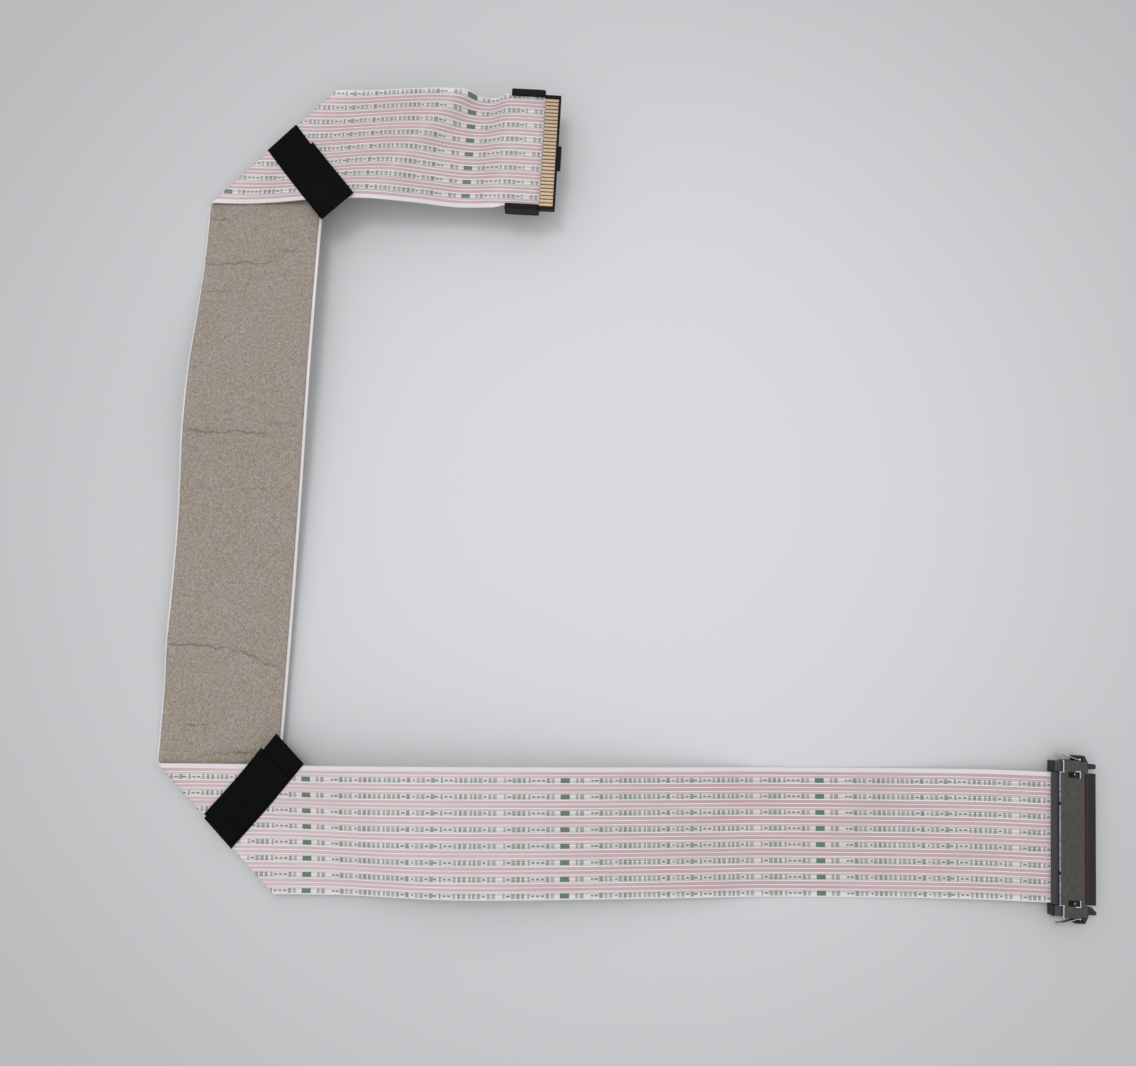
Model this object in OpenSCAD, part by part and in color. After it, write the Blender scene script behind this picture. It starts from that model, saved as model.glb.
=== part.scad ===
// Flat ribbon cable for a display panel: one laminate folded twice, a latched plug on the
// long leg, a slim card-edge holder on the short leg, shield cloth and fold tapes.
// Origin: middle of the plug's underside, on the surface that the cable lies on.
// +X is the plug's mating direction, +Z is up, and the long leg runs towards -X.

/* [Ribbon] */
// Conductors across the ribbon
conductor_count = 30; // [20:1:36]
// Distance between neighbouring conductors
conductor_pitch = 1; // [0.9:0.05:1.2]
// Width of one conductor
conductor_w = 0.7; // [0.5:0.05:0.75]
// Film outside the centre of each outermost conductor
film_margin = 1.5; // [1.2:0.1:2.5]
// Thickness of the laminate
film_t = 0.3; // [0.2:0.05:0.35]
// Length along the ribbon from the plug's centre to the lower fold
lower_run = 215.6; // [190:0.1:300]
// Angle that the run turns through in plan as it leaves the plug
plug_turn = 2.6; // [-4:0.1:4]
// Length along the ribbon in which it turns
plug_bend = 24; // [20:1:60]
// Length along the ribbon between the folds
middle_run = 180; // [150:1:260]
// Length along the ribbon from the upper fold to the bare end
upper_run = 77; // [72:0.5:140]
// Angle that the ribbon turns through at the lower fold
lower_turn = 92.6; // [85:0.1:95]
// Angle that the ribbon turns through at the upper fold
upper_turn = 90.2; // [85:0.1:95]
// Radius of the fold, at the middle of the laminate
fold_r = 0.65; // [0.55:0.05:1]

/* [Shield cloth and tapes] */
// Thickness of the woven shield cloth
cloth_t = 0.15; // [0.1:0.05:0.25]
// White film left bare along the cloth's right edge
cloth_inset_right = 1.1; // [0.5:0.1:3]
// White film left bare along the cloth's left edge
cloth_inset_left = 0.3; // [0.2:0.1:3]
// Distance from each fold to the end of the cloth
cloth_end = 4; // [3:0.5:12]
// Width of the black cloth tape round each fold
tape_w = 10.3; // [6:0.1:14]
// Thickness of the tape
tape_t = 0.22; // [0.15:0.01:0.3]
// How far the tape reaches past the inner corner
tape_flag = 5.4; // [4:0.1:10]
// How far back from its end the upper layer of the lower tape stops
tape_step = 5.4; // [3.5:0.1:9]
// How far from the fold the upper layer of the upper tape starts
upper_tape_bare = 7.4; // [3:0.1:12]
// Sideways offset of the upper layers
tape_slip = 0.7; // [0.2:0.1:1]
// Skew of the tape on the lower fold
lower_tape_skew = 5; // [0:0.5:6]
// Place of the lower tape along its fold, from the middle of the fold
lower_tape_shift = 1.9; // [-4:0.1:4]
// Skew of the tape on the upper fold
upper_tape_skew = 5.5; // [0:0.5:6]
// Place of the upper tape along its fold, from the middle of the fold
upper_tape_shift = -3.8; // [-4:0.1:4]

/* [Card-edge holder] */
// Height of the ribbon above the surface, in the holder
holder_z = 8.8; // [3.5:0.1:9.5]
// Film trimmed off each edge where the holder grips the ribbon
end_trim = 0.9; // [0.3:0.1:1]
// Length of the bare contacts
contact_len = 3.6; // [2.5:0.1:5]
// Length of the holder's side ears
ear_len = 9; // [6:0.1:12]
// Width of the ears
ear_w = 1.5; // [1:0.1:3]
// Height of the ears above the ribbon
ear_top = 1.5; // [0.8:0.1:2.5]
// Depth of the ears below the ribbon
ear_bottom = 2.5; // [1.8:0.1:3.2]
// Thickness of the lip in front of the contacts
lip_t = 0.55; // [0.4:0.05:1]
// Thickness of the bars beside the contacts
side_bar_t = 0.7; // [0.5:0.05:1]
// Thickness of the holder's floor
holder_floor = 1; // [0.6:0.1:1.4]
// Length of the polarising key on the lip
key_len = 6.3; // [3:0.1:10]
// Reach of the polarising key
key_reach = 0.85; // [0.4:0.05:1.5]
// Offset of the key from the middle of the lip
key_offset = 1.5; // [0:0.1:6]

/* [Plug] */
// Length of the plug's body, from its rear face to the front of its end walls
plug_len = 8.7; // [8.2:0.1:10]
// Height of the plug over both shells
plug_h = 4.6; // [4.4:0.1:6]
// Height of the ribbon's middle where it enters the plug
plug_ribbon_z = 2.6; // [2.4:0.05:2.9]
// Width of each end block of the housing
end_block_w = 2.65; // [2.3:0.05:4]
// Reach of the mating tongue past the end walls
tongue_reach = 2.6; // [2:0.1:4]
// Thickness of the mating tongue
tongue_t = 1.9; // [1.5:0.1:2.2]
// Width of the groove between the shells and the tongue's crown
tongue_groove = 0.8; // [0.5:0.1:1.2]
// Thickness of the shell steel
shell_t = 0.25; // [0.2:0.05:0.3]
// Length of the shells
shell_len = 6.3; // [5.6:0.1:6.6]
// Length of the clamp bars that show behind the shells
clamp_len = 1.5; // [0.8:0.1:1.6]
// Length of the shells' wings over the end blocks
wing_len = 4.4; // [3:0.1:4.8]
// Length and width of the shell windows
window_len = 2.9; // [2:0.1:3.2]
window_w = 1.5; // [1:0.1:1.8]
// Width of the left guide post
left_post_w = 1.3; // [0.9:0.1:1.6]
// Width of the right guide post, which carries the polarising chamfer
right_post_w = 1.8; // [1.4:0.1:2]

/* [Latches] */
// Gap between the end block and the bracket, in which a latch turns
latch_gap = 1.1; // [1:0.05:1.5]
// Thickness of the latch steel
latch_t = 0.2; // [0.15:0.01:0.25]
// Height of the latch strip
latch_h = 2; // [1.5:0.1:2.3]
// Length of the finger tab behind the pivot
latch_tab = 5.2; // [3.5:0.1:5.4]
// Angle that the tab stands away from the plug at rest
latch_lean = 17; // [14:1:22]
// Radius of the pivot peg
latch_peg_r = 0.3; // [0.25:0.05:0.4]
// Clearance all round the pivot peg
peg_clear = 0.06; // [0.04:0.01:0.1]

/* [Hidden] */
$fn = 32;

film_color = [0.82, 0.75, 0.76];
cloth_color = [0.58, 0.54, 0.49];
tape_color = [0.06, 0.06, 0.065];
gold_color = [0.85, 0.68, 0.45];
stiffener_color = [0.9, 0.9, 0.88];
holder_color = [0.1, 0.1, 0.11];
housing_color = [0.22, 0.24, 0.27];
steel_color = [0.36, 0.36, 0.35];
latch_color = [0.7, 0.7, 0.68];

// Clearances between pieces that lie against each other
touch = 0.02;
fit = 0.05;
eps = 0.01;
// Depth by which two layers of tape are bonded into one
bond = 0.05;

ribbon_w = (conductor_count - 1) * conductor_pitch + 2 * film_margin;
half_w = ribbon_w / 2;
ribbon_start = 2.5;
lower_fold = lower_run;
upper_fold = lower_fold + middle_run;
ribbon_end = upper_fold + upper_run;

// Directions of the three runs
lower_angle = 180 + plug_turn;
middle_angle = lower_angle - lower_turn;
upper_angle = middle_angle - upper_turn;

function unit(v) = v / norm(v);
function reversed(list) = [for (i = [len(list) - 1 : -1 : 0]) list[i]];
function along(a) = [cos(a), sin(a)];
function clamp(x) = min(max(x, 0), 1);
function smooth(x) = let (t = clamp(x)) t * t * (3 - 2 * t);

// The ribbon leaves the plug straight back and then turns a little, from bend_from to bend_to
bend_from = 5;
bend_to = bend_from + plug_bend;
function bend_angle(s) = plug_turn * clamp((s - bend_from) / plug_bend);
function bend_point(s) = min(s, bend_from) * along(180)
    + clamp((s - bend_from) / plug_bend) * plug_bend * along(180 + bend_angle(s) / 2);

// A run is [plan point of its start, length at its start, direction, direction of +w]
function bend_frame(s) = [bend_point(s), s, along(180 + bend_angle(s)), along(90 + bend_angle(s))];
lower_frame = bend_frame(bend_to);
lower_fold_at = lower_frame[0] + (lower_fold - bend_to) * lower_frame[2];
middle_frame = [lower_fold_at, lower_fold, along(middle_angle), along(middle_angle + 90)];
upper_fold_at = middle_frame[0] + middle_run * middle_frame[2];
upper_frame = [upper_fold_at, upper_fold, along(upper_angle), along(upper_angle - 90)];

// A fold is [length, plan point, half angle, +1 or -1, plan direction of its edge, outwards]
function fold(s, at, turn, side, frame) =
    let (h = turn / 2)
    [s, at, h, side,
     cos(h) * frame[2] + side * sin(h) * frame[3],
     sin(h) * frame[2] - side * cos(h) * frame[3]];
lower_crease = fold(lower_fold, lower_fold_at, lower_turn, 1, lower_frame);
upper_crease = fold(upper_fold, upper_fold_at, upper_turn, -1, middle_frame);
function crease_shear(c) = c[3] * cos(c[2]) / sin(c[2]);
fold_arc = fold_r * PI / 2;
fold_zone = 2.5;

// Height profile: [length, height at the +w edge, height at the -w edge] of the layer that
// lies on the surface, and the legs ride one fold thickness above it
slot_lift = plug_ribbon_z - 2 * fold_r;
holder_lift = holder_z - 2 * fold_r;
plug_side = [[0, slot_lift, slot_lift], [13, slot_lift, slot_lift], [26, 0.3, 0.3],
    [45, -0.85, -0.85], [78, -0.85, -0.85]];
lower_fold_side = [[-126, 0.8, 0.8], [-108, 3.2, 3.2], [-90, 5.4, 5.4], [-70, 7, 7],
    [-52, 7.4, 7.4], [-40, 6.4, 6.4], [-31, 4, 4], [-20, 1.2, 1.2], [-10, 0.5, 0.5],
    [0, 0.44, 0.44], [10, 0.46, 0.46], [20, 0.8, 0.8], [31, 2.2, 2.2], [46, 2.1, 2.1],
    [66, 2.4, 2.4], [84, 3.8, 3.6]];
upper_fold_side = [[-70, 6.2, 6], [-48, 5.8, 6.4], [-33, 3, 6], [-20, 0.8, 4.8],
    [-10, 0.3, 4.2], [0, 0.3, 4.2], [10, 1, 5], [20, 3.4, 7], [31, 7.2, 8.6]];
// The upper run's hump takes shares of the free length between the fold and the holder
holder_lead = 1.4;
holder_flat = contact_len + ear_len + holder_lead;
free_from = upper_fold + upper_fold_side[len(upper_fold_side) - 1][0];
free_run = ribbon_end - holder_flat - free_from;
hump = [[0.28, 9.2, 8.2], [0.53, 8.2, 4.6], [0.78, 6.2, 4.6]];
free_side = [for (k = hump) [free_from + k[0] * free_run, k[1], k[2]]];
holder_side = [[-holder_flat, holder_lift, holder_lift], [0, holder_lift, holder_lift]];
function shifted(list, from) = [for (k = list) [k[0] + from, k[1], k[2]]];
knots = concat(plug_side, shifted(lower_fold_side, lower_fold),
    shifted(upper_fold_side, upper_fold), free_side, shifted(holder_side, ribbon_end));

// Smooth curve through one column of the knots
last_knot = len(knots) - 1;
function knot_slope(i, c) = i == 0 || i == last_knot ? 0
    : (knots[i + 1][c] - knots[i - 1][c]) / (knots[i + 1][0] - knots[i - 1][0]);
function knot_before(s, i = 0) =
    i == last_knot - 1 || knots[i + 1][0] > s ? i : knot_before(s, i + 1);
function lift(s, c) =
    let (
        i = knot_before(s),
        span = knots[i + 1][0] - knots[i][0],
        t = clamp((s - knots[i][0]) / span)
    )
    (1 + 2 * t) * (1 - t) * (1 - t) * knots[i][c] + t * (1 - t) * (1 - t) * span * knot_slope(i, c)
    + t * t * (3 - 2 * t) * knots[i + 1][c] + t * t * (t - 1) * span * knot_slope(i + 1, c);

// Straight lines on the laminate lean over to lie along each crease
crease_hold = 34;
lower_ease = 61;
upper_ease = upper_run - crease_hold - holder_flat + 1;
function shear(s) =
    s <= lower_fold
        ? crease_shear(lower_crease) * smooth((s - lower_fold + crease_hold + lower_ease) / lower_ease)
    : s <= upper_fold
        ? crease_shear(lower_crease) + (crease_shear(upper_crease) - crease_shear(lower_crease))
            * smooth((s - lower_fold - crease_hold) / (middle_run - 2 * crease_hold))
    : crease_shear(upper_crease) * (1 - clamp((s - upper_fold - crease_hold) / upper_ease));

// Across a crease: plan distance and height above the lower layer, q < 0 on the upper layer
function across(q) = abs(q) > fold_arc ? -abs(q)
    : -fold_arc + fold_r * sin((q + fold_arc) / fold_r * 180 / PI);
function climb(q) = q > fold_arc ? 0 : q < -fold_arc ? 2 * fold_r
    : fold_r * (1 + cos((q + fold_arc) / fold_r * 180 / PI));

// Middle of the straight line at length s, and its direction for one millimetre of width
function frame_at(s) = s < bend_to ? bend_frame(s) : s < lower_fold ? lower_frame
    : s < upper_fold ? middle_frame : upper_frame;
function crease_at(s) = abs(s - lower_fold) < fold_zone ? lower_crease
    : abs(s - upper_fold) < fold_zone ? upper_crease : undef;
function plan_middle(s) =
    let (c = crease_at(s), f = frame_at(s))
    is_undef(c) ? f[0] + (s - f[1]) * f[2]
        : c[1] + (s - c[0]) * cos(c[2]) * c[4] + across((s - c[0]) * sin(c[2])) * c[5];
function layer_height(s) =
    let (c = crease_at(s))
    is_undef(c) ? (s > lower_fold && s < upper_fold ? 0 : 2 * fold_r)
        : climb(c[3] * (s - c[0]) * sin(c[2]));
function middle(s) = concat(plan_middle(s), layer_height(s) + (lift(s, 1) + lift(s, 2)) / 2);
function ruling(s) =
    let (c = crease_at(s), f = frame_at(s))
    concat(is_undef(c) ? shear(s) * f[2] + f[3] : c[3] / sin(c[2]) * c[4],
        (lift(s, 1) - lift(s, 2)) / ribbon_w);
function printed_normal(s) = unit(cross(ruling(s), middle(s + eps) - middle(s - eps)));

// Closed slab between two grids of points, the outer one and the inner one
module slab(outer, inner) {
    rows = len(outer);
    cols = len(outer[0]);
    inside = rows * cols;
    function at(i, j) = i * cols + j;
    function split(a, b, c, d) = [[a, b, c], [a, c, d]];
    polyhedron(
        points = concat([for (row = outer) each row], [for (row = inner) each row]),
        faces = concat(
            [for (i = [0 : rows - 2], j = [0 : cols - 2])
                each split(at(i, j), at(i + 1, j), at(i + 1, j + 1), at(i, j + 1))],
            [for (i = [0 : rows - 2], j = [0 : cols - 2])
                each split(inside + at(i, j), inside + at(i, j + 1), inside + at(i + 1, j + 1),
                    inside + at(i + 1, j))],
            [for (i = [0 : rows - 2])
                each split(at(i, 0), inside + at(i, 0), inside + at(i + 1, 0), at(i + 1, 0))],
            [for (i = [0 : rows - 2])
                each split(at(i, cols - 1), at(i + 1, cols - 1), inside + at(i + 1, cols - 1),
                    inside + at(i, cols - 1))],
            [for (j = [0 : cols - 2])
                each split(at(0, j), at(0, j + 1), inside + at(0, j + 1), inside + at(0, j))],
            [for (j = [0 : cols - 2])
                each split(at(rows - 1, j), inside + at(rows - 1, j), inside + at(rows - 1, j + 1),
                    at(rows - 1, j + 1))]),
        convexity = 6);
}

// The film is trimmed narrower just before the holder
trim_len = 1.5;
trim_to = ribbon_end - contact_len - ear_len - 0.1;
function film_half(s) = half_w - end_trim * clamp((s - trim_to + trim_len) / trim_len);

// A sheet swept along the ribbon, set in from both its edges, from n0 to n1 off its middle
module sheet(lengths, inset_right, inset_left, n0, n1) {
    rows = [for (s = lengths) [middle(s), ruling(s), printed_normal(s),
        [inset_right - film_half(s), -half_w / 2, 0, half_w / 2, film_half(s) - inset_left]]];
    function layer(n) = [for (row = rows) [for (w = row[3]) row[0] + w * row[1] + n * row[2]]];
    slab(layer(n1), layer(n0));
}

row_step = 4;
crease_steps = 8;
crease_reach = fold_arc / sin(45) * 1.06;
function run_rows(from, to) =
    let (n = ceil((to - from) / row_step)) [for (i = [0 : n]) from + (to - from) * i / n];
function crease_rows(s) = [for (i = [1 : crease_steps - 1])
    s - crease_reach + 2 * crease_reach * i / crease_steps];
middle_rows = run_rows(lower_fold + crease_reach, upper_fold - crease_reach);
film_end = ribbon_end - contact_len;

ribbon_rows = concat(
    run_rows(ribbon_start, lower_fold - crease_reach), crease_rows(lower_fold),
    middle_rows, crease_rows(upper_fold), run_rows(upper_fold + crease_reach, trim_to - trim_len),
    run_rows(trim_to, film_end));

module ribbon() {
    color(film_color) sheet(ribbon_rows, 0, 0, -film_t / 2, film_t / 2);
}

module shield_cloth() {
    color(cloth_color)
        sheet([for (s = middle_rows) if (s > lower_fold + cloth_end && s < upper_fold - cloth_end) s],
            cloth_inset_right, cloth_inset_left, -film_t / 2 - fit - cloth_t, -film_t / 2 - fit);
}

// Fold tape, in the frame of a crease: x outwards, y along it, and q the distance round it,
// below zero on the upper layer. Past the inner corner both layers close into a flag, in the
// open triangle between the two runs.
flag_close = 2.4;
flag_free = 0.9;
flag_step = 1.2;
flag_short = 0.8;
function inner_corner(c) = half_w / cos(c[2]);
function layer_z(c, q, y) =
    let (
        away = c[3] * q / sin(c[2]),
        s = c[0] + away,
        w = -c[3] * sin(c[2]) * (y + away * cos(c[2]))
    )
    (lift(s, 1) + lift(s, 2)) / 2 + (lift(s, 1) - lift(s, 2)) * w / ribbon_w + climb(q);
function tape_point(c, q, y, off) =
    let (
        corner = inner_corner(c),
        side = q < 0 ? 1 : -1,
        turn = 180 * clamp((q + fold_arc) / (2 * fold_arc)),
        closed = smooth((abs(q) - corner - abs(y) * tan(c[2]) - flag_free) / flag_close),
        flag = (layer_z(c, corner, y) + layer_z(c, -corner, y)) / 2,
        rise = (1 - closed) * (film_t / 2 + fit)
    )
    [across(q) + (rise + off) * sin(turn), y,
     (1 - closed) * layer_z(c, q, y) + closed * flag
        + (closed > 0 ? side : cos(turn)) * (rise + off)];

// The tape bends at the same rows as the ribbon under it
function rows_round(c) =
    let (at = [for (s = ribbon_rows) c[3] * (s - c[0]) * sin(c[2])])
    [for (q = c[3] > 0 ? at : reversed(at)) if (abs(q) < inner_corner(c)) q];
function flag_rows(c) = [for (x = [flag_step : flag_step : tape_flag - eps]) inner_corner(c) + x];

// One layer of tape, between two distances round the crease
module tape_layer(c, from, to, lean, shift, off0, off1) {
    distances = concat([from], [for (q = concat(reversed(-flag_rows(c)), rows_round(c), flag_rows(c)))
        if (q > from + 0.1 && q < to - 0.1) q], [to]);
    function grid(off) = [for (q = distances) [for (j = [3 : -1 : -3])
        tape_point(c, q, shift - abs(q) * tan(lean) + j * tape_w / 6, off)]];
    slab(grid(off1), grid(off0));
}

// The first layer is two leaves that lap round the crease, and the second is bonded on the
// upper leaf over bonded = [from, to], as distances round the crease
module fold_tape(c, lean, shift, bonded) {
    end = inner_corner(c) + tape_flag;
    lap = fold_arc / 2;
    translate([c[1][0], c[1][1], 0])
        rotate(atan2(c[5][1], c[5][0])) {
            tape_layer(c, -end, lap, lean, shift, 0, tape_t);
            tape_layer(c, -lap, end - flag_short, lean, shift, -eps, tape_t);
            tape_layer(c, bonded[0], bonded[1], lean, shift - tape_slip, tape_t - bond, 2 * tape_t);
        }
}

module lower_fold_tape() {
    color(tape_color)
        fold_tape(lower_crease, lower_tape_skew, lower_tape_shift,
            [tape_step - inner_corner(lower_crease) - tape_flag, -fold_arc]);
}

module upper_fold_tape() {
    color(tape_color)
        fold_tape(upper_crease, -upper_tape_skew, upper_tape_shift,
            [-inner_corner(upper_crease) - tape_flag, -upper_tape_bare]);
}

// Holder frame: x runs to the mating edge, z = 0 in the middle of the laminate
module at_holder() {
    end = plan_middle(ribbon_end);
    translate([end[0], end[1], holder_z])
        rotate([0, 0, upper_angle])
            children();
}

end_half = half_w - end_trim;
stiffener_t = 0.2;
stiffener_lap = 5;
stiffener_len = contact_len + stiffener_lap;
finger_t = 0.1;
conductor_ys = [for (i = [0 : conductor_count - 1])
    (i - (conductor_count - 1) / 2) * conductor_pitch];

module end_stiffener() {
    top = -film_t / 2 - touch;
    color(stiffener_color)
        at_holder() {
            translate([-stiffener_len, -end_half, top - stiffener_t])
                cube([stiffener_len, 2 * end_half, stiffener_t]);
            translate([-contact_len + touch, -end_half, top - eps])
                cube([contact_len - touch, 2 * end_half, film_t / 2 - finger_t / 2 + eps]);
        }
}

module contact_fingers() {
    color(gold_color)
        at_holder()
            for (y = conductor_ys)
                translate([-contact_len + touch, y - conductor_w / 2, -finger_t / 2])
                    cube([contact_len - touch - fit, conductor_w, finger_t]);
}

module card_edge_holder() {
    floor_top = -film_t / 2 - stiffener_t - 2 * touch;
    floor_low = floor_top - holder_floor;
    side = end_half + fit;
    rear = -contact_len - ear_len;
    lip_top = finger_t + 0.3;
    corner = 0.5;
    edge = 0.3;
    rib_w = 0.8;
    rib_low = 0.4 - ear_bottom;
    rib_span = 0.8 * 2 * end_half;
    color(holder_color)
        at_holder() {
            // floor and lip in one section
            rotate([90, 0, 0])
                linear_extrude(2 * side + 2 * side_bar_t, center = true)
                    polygon([[rear, floor_low], [lip_t - edge / 2, floor_low], [lip_t, floor_low + edge / 2],
                        [lip_t, lip_top - edge / 2], [lip_t - edge / 2, lip_top], [touch, lip_top],
                        [touch, floor_top], [rear + edge, floor_top], [rear, floor_top - edge]]);
            for (m = [0, 1])
                mirror([0, m, 0]) {
                    // bar beside the contacts
                    translate([-contact_len - eps, side, floor_low])
                        cube([contact_len + touch + 2 * eps, side_bar_t, lip_top - floor_low]);
                    // ear, with its front corners cut back
                    translate([0, side + ear_w, 0])
                        rotate([90, 0, 0])
                            linear_extrude(ear_w)
                                polygon([[rear, edge - ear_bottom], [rear + edge, -ear_bottom],
                                    [-contact_len - corner, -ear_bottom],
                                    [-contact_len, corner - ear_bottom],
                                    [-contact_len, ear_top - corner],
                                    [-contact_len - corner, ear_top], [rear + edge, ear_top],
                                    [rear, ear_top - edge]]);
                }
            // ribs under the floor
            for (share = [-0.5, -0.17, 0.17, 0.5])
                translate([rear + rib_w, share * rib_span - rib_w / 2, rib_low])
                    cube([ear_len, rib_w, floor_low - rib_low + eps]);
            // polarising key
            translate([lip_t - eps, -key_offset - key_len / 2, floor_low + edge])
                cube([key_reach + eps, key_len, lip_top - edge - floor_low]);
        }
}

// Plug: the tongue, posts and latches face +X, and the shells close on the end blocks
plug_rear = -0.6 * plug_len;
plug_front = plug_rear + plug_len;
slot_wall = 0.3;
core_half = half_w + slot_wall;
body_half = core_half + end_block_w;
inner_h = plug_h - 2 * shell_t - 2 * touch;
block_step = 0.45;
pocket_h = 0.9;

shell_rear = plug_rear + clamp_len;
shell_front = shell_rear + shell_len;
wing_rear = shell_rear + 0.95;
window_rear = shell_rear + 2.2;
window_y = half_w - window_w + 0.4;

tongue_front = plug_front + tongue_reach;
tongue_z = (plug_h - tongue_t) / 2 - 0.15;
tongue_half = core_half - 0.2;
groove_t = 0.7;

slot_low = plug_ribbon_z - film_t / 2 - fit;
slot_high = plug_ribbon_z + film_t / 2 + fit;
slot_front = 0.4 - ribbon_start;
comb_rear = slot_front - 1.4;
tail_w = 0.3;
tail_low = tongue_z + 0.08;

bracket_t = 0.45;
bracket_z = 1;
bracket_h = plug_h - 2 * bracket_z + 0.6;
bracket_side = body_half + latch_gap;
pivot_x = plug_front - 1.7;
pivot_y = body_half + latch_gap / 2;
lug_t = 0.6;
lug_rear = pivot_x - 1.4;
lug_front = plug_front - 1.1;

// Guide post, with the corner next to the tongue cut by [length, depth]
module guide_post(w, cut) {
    corner = 0.3;
    linear_extrude(tongue_t - 0.2)
        polygon([[-eps, 0], [tongue_reach - cut[0], 0], [tongue_reach, cut[1]],
            [tongue_reach, w - corner], [tongue_reach - corner, w], [-eps, w]]);
}

// One end of the housing, for y > 0, with its guide post and latch bracket
module housing_end(post_w, cut) {
    post_inset = 0.45;
    difference() {
        translate([plug_rear, core_half - eps, shell_t + touch])
            cube([plug_len, end_block_w + eps, inner_h]);
        // the block steps down behind the wings, above and below
        for (z = [-eps, plug_h - shell_t - block_step])
            translate([plug_rear - eps, core_half, z])
                cube([wing_rear - plug_rear - fit, end_block_w + 1, shell_t + block_step + 2 * eps]);
    }
    translate([plug_front, body_half - post_w - post_inset, tongue_z + 0.1])
        guide_post(post_w, cut);
    translate([0, 0, bracket_z])
        linear_extrude(bracket_h)
            polygon([[lug_front, body_half - eps], [plug_front, body_half - eps],
                [plug_front - 0.75, bracket_side + bracket_t], [lug_rear, bracket_side + bracket_t],
                [lug_rear, bracket_side], [lug_front - 0.15, bracket_side]]);
    // lug that the latch turns in
    difference() {
        translate([lug_rear, body_half - eps, bracket_z])
            cube([lug_front + 0.6 - pivot_x + 1.4, latch_gap + 2 * eps, lug_t]);
        translate([pivot_x, pivot_y, bracket_z - 1])
            cylinder(r = latch_peg_r + peg_clear, h = lug_t + 2);
    }
}

module tongue() {
    edge = 0.25;
    root = shell_front - 2 * fit;
    crown = shell_front + tongue_groove;
    translate([0, 0, tongue_z])
        rotate([90, 0, 0])
            linear_extrude(2 * tongue_half, center = true)
                polygon([[root, 0], [tongue_front - edge, 0], [tongue_front, edge],
                    [tongue_front, tongue_t - edge], [tongue_front - edge, tongue_t],
                    [crown, tongue_t], [crown, tongue_t - groove_t], [root, tongue_t - groove_t]]);
}

// One channel of the comb, open under the tongue and at its front
module comb_channel() {
    w = tail_w + 2 * fit;
    translate([comb_rear, -w / 2, tongue_z - 1])
        cube([tongue_front - 0.5 - comb_rear, w, 1.35]);
    translate([comb_rear, -w / 2, tongue_z])
        cube([0.6, w, slot_low - tongue_z + eps]);
}

module plug_housing() {
    color(housing_color)
        difference() {
            union() {
                // core between the shells
                translate([shell_rear + shell_t + fit, -core_half, shell_t + touch])
                    cube([shell_len - shell_t - 2 * fit, 2 * core_half, inner_h]);
                housing_end(left_post_w, [0.35, 0.35]);
                mirror([0, 1, 0]) housing_end(right_post_w, [1.05, 0.6 * right_post_w]);
                tongue();
            }
            // slot that the ribbon seats in
            translate([plug_rear - 1, -half_w - fit, slot_low])
                cube([slot_front - plug_rear + 1, ribbon_w + 2 * fit, slot_high - slot_low]);
            for (y = conductor_ys)
                translate([0, y, 0]) comb_channel();
            // pockets under the shell windows
            for (my = [0, 1], mz = [0, 1])
                translate([0, 0, mz * plug_h]) mirror([0, my, 0]) mirror([0, 0, mz])
                    translate([window_rear, window_y, -eps])
                        cube([window_len, window_w, shell_t + touch + pocket_h + eps]);
        }
}

module clamp_bar() {
    bar_h = plug_h - shell_t - block_step - slot_high;
    color(housing_color)
        for (z = [slot_high, slot_low - bar_h])
            translate([plug_rear, -core_half + fit, z])
                cube([clamp_len - fit, 2 * (core_half - fit), bar_h]);
}

module plug_contacts() {
    tail_t = 0.2;
    foot = comb_rear + fit;
    tip = tongue_front - 0.6;
    color(gold_color)
        for (y = conductor_ys)
            translate([0, y + tail_w / 2, 0])
                rotate([90, 0, 0])
                    linear_extrude(tail_w)
                        polygon([[foot, tail_low], [tip - tail_t / 2, tail_low], [tip, tail_low + tail_t / 2],
                            [tip, tail_low + tail_t], [foot + tail_t, tail_low + tail_t],
                            [foot + tail_t, slot_low], [foot, slot_low]]);
}

// One formed shell for the top; the bottom one is its mirror image
module shell() {
    skirt_h = 1.1;
    skirt_len = min(wing_len, lug_rear - 0.2 - wing_rear);
    side = body_half + touch;
    lip_h = 0.6;
    lip_half = core_half - 0.4;
    notch_y = 8.5;
    notch_w = 0.8;
    notch_l = 0.35;
    lance_w = 0.8;
    lance_len = 0.65 * window_len;
    lance_drop = 0.5;
    difference() {
        union() {
            translate([shell_rear, -core_half, plug_h - shell_t])
                cube([shell_len, 2 * core_half, shell_t]);
            translate([wing_rear, -side - shell_t, plug_h - shell_t])
                cube([wing_len, 2 * (side + shell_t), shell_t]);
            for (m = [0, 1])
                mirror([0, m, 0])
                    translate([wing_rear, side, plug_h - skirt_h])
                        cube([skirt_len, shell_t, skirt_h]);
            // lip bent down behind the core
            translate([shell_rear, -lip_half, plug_h - lip_h])
                cube([shell_t - fit, 2 * lip_half, lip_h]);
        }
        for (m = [0, 1])
            mirror([0, m, 0])
                translate([window_rear, window_y, plug_h - shell_t - 1])
                    cube([window_len, window_w, shell_t + 2]);
        // notches in the rear edge
        for (y = [-notch_y, notch_y])
            translate([shell_rear - 1, y - notch_w / 2, plug_h - shell_t - 1])
                cube([1 + notch_l, notch_w, shell_t + 2]);
    }
    // lances bent down into the windows
    for (m = [0, 1])
        mirror([0, m, 0])
            translate([window_rear - eps, window_y + (window_w + lance_w) / 2, plug_h])
                rotate([90, 0, 0])
                    linear_extrude(lance_w)
                        polygon([[0, -shell_t], [0, 0], [lance_len, -lance_drop],
                            [lance_len - 0.1, -lance_drop - shell_t / 2]]);
}

module top_shell() {
    color(steel_color) shell();
}

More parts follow.
